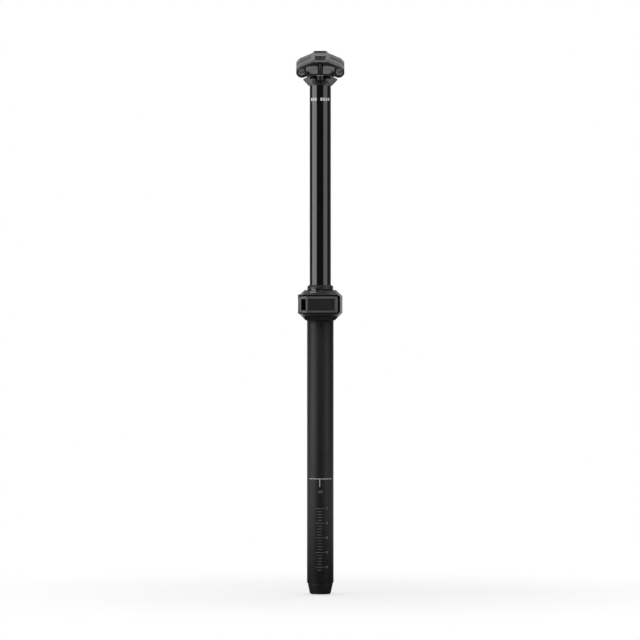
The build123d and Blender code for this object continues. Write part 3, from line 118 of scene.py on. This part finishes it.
def noise(n, l, vector, scale, detail):
    step = n.new("ShaderNodeTexNoise")
    step.inputs["Scale"].default_value = scale
    step.inputs["Detail"].default_value = detail
    l.new(vector, step.inputs["Vector"])
    return step.outputs["Fac"]


def new_material(name):
    m = bpy.data.materials.new(name)
    m.use_nodes = True
    return m, m.node_tree.nodes, m.node_tree.links, m.node_tree.nodes["Principled BSDF"]


def grey(v):
    return (v, v, v * 1.03)


# Materials
MOTTLE = 60.0                     # scale of the slow drift from dark to light
BROAD_DETAIL = 3.0
FINE_DETAIL = 4.0
DARK_AT = 0.3                     # noise values at which the colour is all dark or all light
LIGHT_AT = 0.7
COAT_ROUGHNESS = 0.08


def surface(name, dark, light, rough, metal=0.0, grain=900.0, stretch=(1, 1, 1), bump=0.04,
            depth=0.00005, specular=0.5, coat=0.0):
    """A surface whose colour drifts from dark to light, with its own grain in gloss and relief.
    rough is (lowest, highest); stretch pulls the grain along an axis, as brushing does."""
    m, n, l, shader = new_material(name)
    shader.inputs["Metallic"].default_value = metal
    shader.inputs["Specular IOR Level"].default_value = specular
    shader.inputs["Coat Weight"].default_value = coat
    shader.inputs["Coat Roughness"].default_value = COAT_ROUGHNESS
    place = n.new("ShaderNodeTexCoord")
    fit = n.new("ShaderNodeMapping")
    fit.inputs["Scale"].default_value = stretch
    l.new(place.outputs["Object"], fit.inputs["Vector"])
    fine = noise(n, l, fit.outputs["Vector"], grain, FINE_DETAIL)
    broad = noise(n, l, place.outputs["Object"], MOTTLE, BROAD_DETAIL)
    colour = n.new("ShaderNodeValToRGB")
    for element, at, tone in zip(colour.color_ramp.elements, (DARK_AT, LIGHT_AT), (dark, light)):
        element.position = at
        element.color = (*tone, 1)
    l.new(broad, colour.inputs["Fac"])
    l.new(colour.outputs["Color"], shader.inputs["Base Color"])
    gloss = n.new("ShaderNodeMapRange")
    gloss.inputs["To Min"].default_value = rough[0]
    gloss.inputs["To Max"].default_value = rough[1]
    l.new(fine, gloss.inputs["Value"])
    l.new(gloss.outputs["Result"], shader.inputs["Roughness"])
    relief = n.new("ShaderNodeBump")
    relief.inputs["Strength"].default_value = bump
    relief.inputs["Distance"].default_value = depth
    l.new(fine, relief.inputs["Height"])
    l.new(relief.outputs["Normal"], shader.inputs["Normal"])
    return m


def clamp_look(name, dark, light):
    """The blasted black of the saddle clamp's machined pieces."""
    return surface(name, grey(dark), grey(light), (0.40, 0.52), grain=2000, bump=0.08)


looks = {
    "post_black": surface("post_black", grey(0.004), grey(0.006), (0.10, 0.15), grain=500,
                          stretch=(1, 1, 0.2), bump=0.02, specular=1.0),
    "tube_black": surface("tube_black", grey(0.009), grey(0.012), (0.42, 0.50), grain=2500,
                          specular=0.40),
    "collar_black": surface("collar_black", grey(0.014), grey(0.019), (0.32, 0.42), grain=2500),
    "bolt_black": surface("bolt_black", grey(0.03), grey(0.05), (0.28, 0.40), metal=0.8),
    "washer_bright": surface("washer_bright", grey(0.55), grey(0.70), (0.18, 0.30), metal=1.0),
    "inner_steel": surface("inner_steel", grey(0.50), grey(0.62), (0.15, 0.28), metal=1.0),
    "inner_alloy": surface("inner_alloy", grey(0.60), grey(0.72), (0.22, 0.34), metal=1.0,
                           stretch=(1, 1, 12)),
    "brass": surface("brass", (0.55, 0.38, 0.12), (0.70, 0.50, 0.20), (0.2, 0.3), metal=1.0),
    "seal_rubber": surface("seal_rubber", grey(0.010), grey(0.018), (0.50, 0.65), grain=1500),
    "bushing_plastic": surface("bushing_plastic", (0.05, 0.07, 0.06), (0.07, 0.09, 0.08),
                               (0.4, 0.5)),
    "foam": surface("foam", grey(0.03), grey(0.07), (0.9, 1.0), grain=3000, bump=0.6,
                    depth=0.0003),
    "battery_black": surface("battery_black", grey(0.014), grey(0.018), (0.34, 0.44),
                             grain=4000, bump=0.10),
    "latch_black": surface("latch_black", grey(0.008), grey(0.012), (0.30, 0.40), grain=3000),
    "cap_black": surface("cap_black", grey(0.010), grey(0.015), (0.38, 0.50), grain=3000,
                         bump=0.10),
    "light_lens": surface("light_lens", (0.17, 0.26, 0.19), (0.21, 0.32, 0.235), (0.2, 0.3),
                          coat=0.5),
    "button_grey": surface("button_grey", grey(0.06), grey(0.08), (0.5, 0.6), grain=3000),
    "board_green": surface("board_green", (0.01, 0.09, 0.03), (0.02, 0.14, 0.05), (0.3, 0.4)),
    "cable_film": surface("cable_film", (0.35, 0.17, 0.03), (0.45, 0.24, 0.05), (0.25, 0.35)),
    "gold_contact": surface("gold_contact", (0.75, 0.52, 0.2), (0.85, 0.62, 0.28),
                            (0.15, 0.25), metal=1.0),
}
upper_look = clamp_look("clamp_upper_black", 0.16, 0.19)
cradle_look = clamp_look("clamp_cradle_black", 0.17, 0.20)
head_look = clamp_look("clamp_head_black", 0.12, 0.15)
print_white = surface("print_white", grey(0.62), grey(0.74), (0.45, 0.6), bump=0.02)
print_grey = surface("print_grey", grey(0.22), grey(0.30), (0.45, 0.6), bump=0.02)


def tint(material, share, tone):
    """Takes the base colour over to tone where share is 1."""
    n, l = material.node_tree.nodes, material.node_tree.links
    base = n["Principled BSDF"].inputs["Base Color"]
    l.new(mix_colour(n, l, share, base.links[0].from_socket, tone), base)


# Painted highlight: pale rims round the fronts of the battery and its latch
RIM_BLEND = 0.0004


def painted_rim_highlight(material, box, front, rim):
    """Painted highlight: a pale rim outside a box (left, right, low, high), on what lies ahead of
    front.
    """
    n, l = material.node_tree.nodes, material.node_tree.links
    x, y, z = position(n, l)
    left, right, low, high = box
    outside = []
    for place, a, b in ((x, left, right), (z, low, high)):
        away = calc(n, l, "ABSOLUTE", calc(n, l, "SUBTRACT", place, (a + b) / 2))
        outside.append(map_range(n, l, away, (b - a) / 2, (b - a) / 2 + RIM_BLEND))
    ahead = calc(n, l, "LESS_THAN", y, -front)
    tint(material, calc(n, l, "MULTIPLY", calc(n, l, "MAXIMUM", *outside), ahead), rim)


painted_rim_highlight(looks["battery_black"], (-0.0139, 0.0165, 0.0115, 0.0251), 0.0326, grey(0.11))
painted_rim_highlight(looks["latch_black"], (-0.0222, -0.0167, 0.0117, 0.0248), 0.0312, grey(0.22))

# Saddle clamp: painted shade in the recesses beside the blasted outer faces, and painted light on
# the rail grooves' surfaces
PAINTED_SHADE = grey(0.010)
GROOVE_PAINTED_LIGHT = grey(0.42)
RAILS = 0.2929                    # rails' height at the post's axis
RAIL_ASIDE = 0.022                # a rail's centre, to the side of the axis
GROOVE_REACH = 0.0037             # just over the rail groove's radius
TILT = radians(17.0)


def clamp_place(n, l):
    """The piece's own place on the saddle clamp: distances from its middle, and heights."""
    x, y, z = position(n, l)
    above = calc(n, l, "SUBTRACT", z, RAILS)
    height = calc(n, l, "SUBTRACT", calc(n, l, "MULTIPLY", above, cos(TILT)),
                  calc(n, l, "MULTIPLY", y, sin(TILT)))
    along = calc(n, l, "ADD", calc(n, l, "MULTIPLY", y, cos(TILT)),
                 calc(n, l, "MULTIPLY", above, sin(TILT)))
    return calc(n, l, "ABSOLUTE", x), calc(n, l, "ABSOLUTE", along), height, z


def near_groove(n, l, aside, height):
    """1 on the rail groove's own surface."""
    x = calc(n, l, "SUBTRACT", aside, RAIL_ASIDE)
    reach = calc(n, l, "SQRT", calc(n, l, "ADD", calc(n, l, "MULTIPLY", x, x),
                                    calc(n, l, "MULTIPLY", height, height)))
    return calc(n, l, "LESS_THAN", reach, GROOVE_REACH)


# Upper clamp: painted shade on the underside of its arch and in the two nuts' troughs. The arch's
# outline is level in the middle, slants down from its shoulder and falls faster at its ends
ARCH_HEIGHT = 0.0119
SHOULDER_ASIDE = 0.0084
SHOULDER_SLANT = 0.4247
END_HEIGHT = 0.0057
END_ASIDE = 0.023
END_SLANT = 0.825
UNDER_MARGIN = 0.0001
TROUGH_ASIDE = 0.0062
TROUGH_ALONG = 0.0176
TROUGH_TOP = 0.0164
n, l = upper_look.node_tree.nodes, upper_look.node_tree.links
aside, along, height, _ = clamp_place(n, l)
slant = calc(n, l, "MULTIPLY_ADD", aside, -SHOULDER_SLANT,
             ARCH_HEIGHT + SHOULDER_SLANT * SHOULDER_ASIDE)
end = calc(n, l, "MULTIPLY_ADD", aside, -END_SLANT, END_HEIGHT + END_SLANT * END_ASIDE)
arch = calc(n, l, "MINIMUM", calc(n, l, "MINIMUM", slant, end), ARCH_HEIGHT)
under = calc(n, l, "LESS_THAN", height, calc(n, l, "SUBTRACT", arch, UNDER_MARGIN))
trough = calc(n, l, "MULTIPLY", calc(n, l, "LESS_THAN", aside, TROUGH_ASIDE),
              calc(n, l, "MULTIPLY", calc(n, l, "LESS_THAN", along, TROUGH_ALONG),
                   calc(n, l, "LESS_THAN", height, TROUGH_TOP)))
tint(upper_look, calc(n, l, "MAXIMUM", under, trough), PAINTED_SHADE)
# Painted light: the rail groove's surface is made paler where it would catch the light
tint(upper_look, near_groove(n, l, aside, height), GROOVE_PAINTED_LIGHT)

# Lower cradle: painted shade outside the web between the rail cups and below its foot
WEB_ASIDE = 0.0163
WEB_FOOT = 0.0005
n, l = cradle_look.node_tree.nodes, cradle_look.node_tree.links
aside, _, height, _ = clamp_place(n, l)
cradle_painted_shade = calc(n, l, "MAXIMUM", calc(n, l, "GREATER_THAN", aside, WEB_ASIDE),
              calc(n, l, "LESS_THAN", height, WEB_FOOT))
tint(cradle_look, cradle_painted_shade, PAINTED_SHADE)
tint(cradle_look, near_groove(n, l, aside, height), GROOVE_PAINTED_LIGHT)

# Post head: painted shade round the neck, except on the slanted facets between its flat sides
FACET_WAY = (0.577, 0.577, 0.577)
FACET_LIMIT = 0.985               # how closely a face has to point that way
NECK_ASIDE = 0.0125
NECK_TOP = 0.2853
n, l = head_look.node_tree.nodes, head_look.node_tree.links
aside, _, _, level = clamp_place(n, l)
facing = n.new("ShaderNodeTexCoord")
plain_side = n.new("ShaderNodeVectorMath")
plain_side.operation = "ABSOLUTE"
l.new(facing.outputs["Normal"], plain_side.inputs[0])
facet = n.new("ShaderNodeVectorMath")
facet.operation = "DOT_PRODUCT"
facet.inputs[1].default_value = FACET_WAY
l.new(plain_side.outputs["Vector"], facet.inputs[0])
off_facet = calc(n, l, "LESS_THAN", facet.outputs["Value"], FACET_LIMIT)
within = calc(n, l, "LESS_THAN", aside, NECK_ASIDE)
below = calc(n, l, "LESS_THAN", level, NECK_TOP)
tint(head_look, calc(n, l, "MULTIPLY", calc(n, l, "MULTIPLY", off_facet, within), below), PAINTED_SHADE)

own = {"upper_clamp": upper_look, "lower_cradle": cradle_look, "post_head": head_look}
slots = {s["node"]: s["material_slot"] for s in frame["record"]["subparts"]}
for name, node in nodes.items():
    node.data.materials.clear()
    node.data.materials.append(own[name] if name in own else looks[slots[name]])

# Worn edges: the machined pieces that show get a fine rounded edge over the CAD faces
EDGES = {"upper_clamp": 0.0003, "lower_cradle": 0.0003, "post_head": 0.00035,
         "collar_body": 0.00035, "battery": 0.0004, "battery_latch": 0.0004,
         "electronics_cover": 0.00015, "collar_cap": 0.0002, "bottom_cap": 0.0003,
         "front_clamp_bolt": 0.00015, "rear_clamp_bolt": 0.00015, "front_barrel_nut": 0.00015,
         "rear_barrel_nut": 0.00015, "front_bolt_washer": 0.0001, "rear_bolt_washer": 0.0001,
         "outer_tube": 0.0002, "status_light": 0.0001, "function_button": 0.0001}
WELD_REACH = 0.000002
EDGE_SEGMENTS = 2
EDGE_ANGLE = radians(24)
for name, width in EDGES.items():
    node = nodes[name]
    weld = node.modifiers.new("weld", "WELD")
    weld.merge_threshold = WELD_REACH
    edge = node.modifiers.new("edge", "BEVEL")
    edge.width = width
    edge.segments = EDGE_SEGMENTS
    edge.limit_method = "ANGLE"
    edge.angle_limit = EDGE_ANGLE
    edge.harden_normals = True
    edge.use_clamp_overlap = True


# Printed marks: thin strips and plain numbers that lie on the tubes
TUBE = 0.01545                    # radius of the outer tube
POST = 0.0125                     # radius of the inner post
STRIP_STEP = 0.0006
STRIP_LIFT = 0.00002
NUMBER_LIFT = 0.00003
NUMBER_CUTS = 2
PIXEL = 0.0011617                 # one row of the photograph
LEVEL_ROW = 320.5                 # the row at height 0


def link(name, mesh, material, body):
    """Adds a mesh as a piece that rides a body."""
    piece = bpy.data.objects.new(name, mesh)
    mesh.materials.append(material)
    scene.collection.objects.link(piece)
    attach(piece, body)
    return piece


def wrap(x, z, radius, lift):
    """The point of a tube's front at x across, measured along the surface, and z up."""
    turn = x / radius
    r = radius + lift
    return (r * sin(turn), -r * cos(turn), z)


def marks(name, rects, radius, material, body):
    """Strips on a tube's front. rects holds (left, right, low, high)."""
    mesh = bpy.data.meshes.new(name)
    points, faces = [], []
    for left, right, low, high in rects:
        steps = max(2, int((right - left) / STRIP_STEP))
        start = len(points)
        for i in range(steps + 1):
            x = left + (right - left) * i / steps
            points.append(wrap(x, low, radius, STRIP_LIFT))
            points.append(wrap(x, high, radius, STRIP_LIFT))
        for i in range(steps):
            a = start + 2 * i
            faces.append((a, a + 2, a + 3, a + 1))
    mesh.from_pydata(points, [], faces)
    mesh.shade_smooth()
    return link(name, mesh, material, body)


def numbers(name, text, size, x, z, radius, material, body):
    """Plain numbers that lie on a tube's front, centred on x and z."""
    curve = bpy.data.curves.new(name, "FONT")
    curve.body = text
    curve.size = size
    curve.align_x = "CENTER"
    curve.align_y = "CENTER"
    source = bpy.data.objects.new(name + "_source", curve)
    scene.collection.objects.link(source)
    bpy.context.view_layer.update()
    mesh = bpy.data.meshes.new_from_object(source)
    bpy.data.objects.remove(source)
    mesh.name = name
    b = bmesh.new()
    b.from_mesh(mesh)
    bmesh.ops.triangulate(b, faces=b.faces)
    long_edges = [e for e in b.edges if e.calc_length() > size / 4]
    bmesh.ops.subdivide_edges(b, edges=long_edges, cuts=NUMBER_CUTS)
    for v in b.verts:
        v.co = Vector(wrap(x + v.co.x, z + v.co.y, radius, NUMBER_LIFT))
    b.to_mesh(mesh)
    b.free()
    return link(name, mesh, material, body)


def row(y):
    """Height of a row of the photograph."""
    return (LEVEL_ROW - y) * PIXEL


# Insertion line with its tick
LINE_REACH = 0.0148
LINE_HALF = 0.00035
line_z = row(478.5)
marks("insertion_line", [(-LINE_REACH, LINE_REACH, line_z - LINE_HALF, line_z + LINE_HALF)],
      TUBE, print_white, "outer_assembly")
marks("insertion_tick", [(-0.0011, -0.0003, row(486.5), line_z - LINE_HALF)], TUBE, print_white,
      "outer_assembly")

# A plain ruled scale stands where the photograph has small print
TICK_COUNT = 22
TICK_PITCH = 0.0034
TICKS_PER_NUMBER = 5
TICK_MIDDLE = -0.0005
LONG_HALF = 0.0046
SHORT_HALF = 0.0026
TICK_HALF = 0.00022               # half of a tick's thickness
scale_top = row(508)
scale_rects = []
for i in range(TICK_COUNT):
    z = scale_top - i * TICK_PITCH
    half = SHORT_HALF if i % TICKS_PER_NUMBER else LONG_HALF
    scale_rects.append((TICK_MIDDLE - half, TICK_MIDDLE + half, z - TICK_HALF, z + TICK_HALF))
marks("scale_ticks", scale_rects, TUBE, print_grey, "outer_assembly")

# Plain dashes stand where the photograph has a word on the post
DASH_LENGTH = 0.0024
dash_rects = []
for left in (-0.0128, -0.0098, -0.0068, 0.0002, 0.0034, 0.0066, 0.0098):
    dash_rects.append((left, left + DASH_LENGTH, row(101.2), row(98.2)))
marks("post_dashes", dash_rects, POST, print_white, "post_assembly")

for i, text in enumerate(("10", "20", "30", "40", "50")):
    numbers("scale_number_" + str(i), text, 0.0036, 0.0078,
            scale_top - i * TICK_PITCH * TICKS_PER_NUMBER, TUBE, print_grey, "outer_assembly")
numbers("insert_number", "100", 0.0040, -0.0002, row(491.5), TUBE, print_grey,
        "outer_assembly")

# A slim light guide lies on the collar's front slope, left of the middle
BAR_HALF = 0.0037
BAR_RADIUS = 0.00045
BAR_RISE = 0.00025
BAR_SINK = 0.0001                 # how far its foot goes into the slope
BAR_ASIDE = -0.0083
BAR_UP = 0.545                    # its place on the slope, as a share of the slope's length
BAR_SIDES = 32
SLOPE_FOOT = Vector((0, -0.0330, 0.0296))
SLOPE_HEAD = Vector((0, -0.0225, 0.0353))
slope = SLOPE_HEAD - SLOPE_FOOT
up_slope = slope.normalized()
off_slope = up_slope.cross(Vector((-1, 0, 0)))
bar_middle = SLOPE_FOOT + slope * BAR_UP + Vector((BAR_ASIDE, 0, 0))
rings = []
for inset, rise in ((0, -BAR_SINK), (0, BAR_RISE * 0.6), (BAR_RADIUS * 0.25, BAR_RISE),
                    (BAR_RADIUS * 0.7, BAR_RISE * 1.1)):
    ring = []
    for i in range(BAR_SIDES):
        turn = 2 * pi * (i + 0.5) / BAR_SIDES
        end = BAR_HALF - BAR_RADIUS if cos(turn) > 0 else BAR_RADIUS - BAR_HALF
        across = end + (BAR_RADIUS - inset) * cos(turn)
        along = (BAR_RADIUS - inset) * sin(turn)
        ring.append(bar_middle + Vector((across, 0, 0)) + up_slope * along + off_slope * rise)
    rings.append(ring)
bar_points = [tuple(point) for ring in rings for point in ring]
last_ring = len(bar_points) - BAR_SIDES
bar_faces = [tuple(last_ring + i for i in range(BAR_SIDES))]
for start in range(0, last_ring, BAR_SIDES):
    for i in range(BAR_SIDES):
        a = start + i
        b = start + (i + 1) % BAR_SIDES
        bar_faces.append((a, b, b + BAR_SIDES, a + BAR_SIDES))
bar_mesh = bpy.data.meshes.new("light_guide")
bar_mesh.from_pydata(bar_points, [], bar_faces)
bar_mesh.shade_smooth()
link("light_guide", bar_mesh, print_white, "outer_assembly")


def seen_directly(n, l, path):
    """1 for the rays that show the background itself: camera, glossy and transmission."""
    total = path.outputs["Is Camera Ray"]
    for ray in ("Is Glossy Ray", "Is Transmission Ray"):
        total = calc(n, l, "ADD", total, path.outputs[ray], clamp=True)
    return total


# Floor: pale where it is seen and behind and beside the part, darker just in front of it so
# that it doesn't light the tubes from below, and fading to white with distance
FLOOR_HALF = 6.0
FLOOR_PARTS = 8
FLOOR_BACK = 2.0                  # how far the floor's middle lies behind the part
FLOOR_DROP = 0.0005
FLOOR_PALE = (0.62, 0.62, 0.62)
FLOOR_DARK = (0.10, 0.10, 0.10)
FLOOR_GLOW = 0.45
BEHIND = (0.0, 1.2)               # from here to there the floor goes over to pale
BESIDE = (0.15, 0.50)
FADE = (0.10, 0.55)               # from here to there it goes over to white
bm = bmesh.new()
bmesh.ops.create_grid(bm, x_segments=FLOOR_PARTS, y_segments=FLOOR_PARTS, size=FLOOR_HALF)
floor_mesh = bpy.data.meshes.new("floor")
bm.to_mesh(floor_mesh)
bm.free()
floor = bpy.data.objects.new("floor", floor_mesh)
floor.location = (0, FLOOR_BACK, cad_box[0][2] - FLOOR_DROP)
scene.collection.objects.link(floor)
m, n, l, shader = new_material("floor_white")
shader.inputs["Roughness"].default_value = 1.0
shader.inputs["Specular IOR Level"].default_value = 0.0
path = n.new("ShaderNodeLightPath")
camera_ray = path.outputs["Is Camera Ray"]
place = n.new("ShaderNodeTexCoord")
centre = n.new("ShaderNodeMapping")
centre.inputs["Location"].default_value = (0, FLOOR_BACK, 0)
l.new(place.outputs["Object"], centre.inputs["Vector"])
across = n.new("ShaderNodeSeparateXYZ")
l.new(centre.outputs["Vector"], across.inputs["Vector"])
behind = map_range(n, l, across.outputs["Y"], *BEHIND, "SMOOTHSTEP")
beside = map_range(n, l, calc(n, l, "ABSOLUTE", across.outputs["X"]), *BESIDE, "SMOOTHSTEP")
pale = calc(n, l, "MAXIMUM", camera_ray, calc(n, l, "MAXIMUM", behind, beside))
l.new(mix_colour(n, l, pale, FLOOR_DARK, FLOOR_PALE), shader.inputs["Base Color"])
near_glow = n.new("ShaderNodeEmission")
glowing = calc(n, l, "MULTIPLY", seen_directly(n, l, path), FLOOR_GLOW)
l.new(calc(n, l, "MULTIPLY", pale, glowing), near_glow.inputs["Strength"])
near = n.new("ShaderNodeAddShader")
l.new(shader.outputs[0], near.inputs[0])
l.new(near_glow.outputs[0], near.inputs[1])
far_glow = n.new("ShaderNodeEmission")
reach = n.new("ShaderNodeVectorMath")
reach.operation = "LENGTH"
l.new(centre.outputs["Vector"], reach.inputs[0])
fade = map_range(n, l, reach.outputs["Value"], *FADE, "SMOOTHSTEP")
whole = n.new("ShaderNodeMixShader")
l.new(calc(n, l, "MULTIPLY", fade, camera_ray), whole.inputs["Fac"])
l.new(near.outputs[0], whole.inputs[1])
l.new(far_glow.outputs[0], whole.inputs[2])
l.new(whole.outputs[0], n["Material Output"].inputs["Surface"])
floor_mesh.materials.append(m)

# World: white where it is seen; reflections show a dark front that turns white at the back
WHITE = (1.0, 1.0, 1.0)
WORLD_LIGHT = (0.25, 0.25, 0.25)  # what lights the matt faces
WORLD_TONES = ((0.10, 0.02), (0.95, 0.12), (0.992, 1.0))    # place from front to back, grey
world = bpy.data.worlds.new("studio")
scene.world = world
world.use_nodes = True
n = world.node_tree.nodes
l = world.node_tree.links
n.clear()
where = n.new("ShaderNodeTexCoord")
axis = n.new("ShaderNodeSeparateXYZ")
l.new(where.outputs["Generated"], axis.inputs["Vector"])
ramp = n.new("ShaderNodeValToRGB")
ramp.color_ramp.interpolation = "EASE"
ramp.color_ramp.elements.new(0.5)
for element, (at, tone) in zip(ramp.color_ramp.elements, WORLD_TONES):
    element.position = at
    element.color = (tone, tone, tone, 1)
l.new(map_range(n, l, axis.outputs["Y"], -1, 1), ramp.inputs["Fac"])
path = n.new("ShaderNodeLightPath")
plain = mix_colour(n, l, seen_directly(n, l, path), WORLD_LIGHT, ramp.outputs["Color"])
ground = n.new("ShaderNodeBackground")
l.new(mix_colour(n, l, path.outputs["Is Camera Ray"], plain, WHITE), ground.inputs["Color"])
end = n.new("ShaderNodeOutputWorld")
l.new(ground.outputs[0], end.inputs["Surface"])


# Lamps
def lamp(name, at, towards, size, power):
    """A soft rectangular lamp of size (across, up), with its power in watts."""
    data = bpy.data.lights.new(name, "AREA")
    data.shape = "RECTANGLE"
    data.size, data.size_y = size
    data.energy = power
    obj = bpy.data.objects.new(name, data)
    obj.location = at
    aim = Vector(towards) - Vector(at)
    obj.rotation_euler = aim.to_track_quat("-Z", "Y").to_euler()
    obj.visible_camera = False
    scene.collection.objects.link(obj)


# Four stand round the post at the same distance: name, azimuth from the camera's side,
# positive to the right, width, and power
ROUND_DISTANCE = 1.6
ROUND_HEIGHT = 0.1
ROUND_TALL = 1.8
for name, azimuth, width, power in (("left_box", -68, 1.70, 20.4), ("right_box", 57, 1.38, 8.6),
                                    ("left_rim", -155, 0.35, 2.2), ("right_rim", 155, 0.35, 2.2)):
    turn = radians(azimuth)
    lamp(name, (ROUND_DISTANCE * sin(turn), -ROUND_DISTANCE * cos(turn), ROUND_HEIGHT),
         (0, 0, 0), (width, ROUND_TALL), power)
HIGH_AIM = (0, 0, 0.1)
lamp("overhead", (0, 0.5, 1.7), HIGH_AIM, (1.6, 1.0), 9.0)
lamp("front_top", (0, -1.3, 1.6), HIGH_AIM, (1.6, 0.9), 8.0)
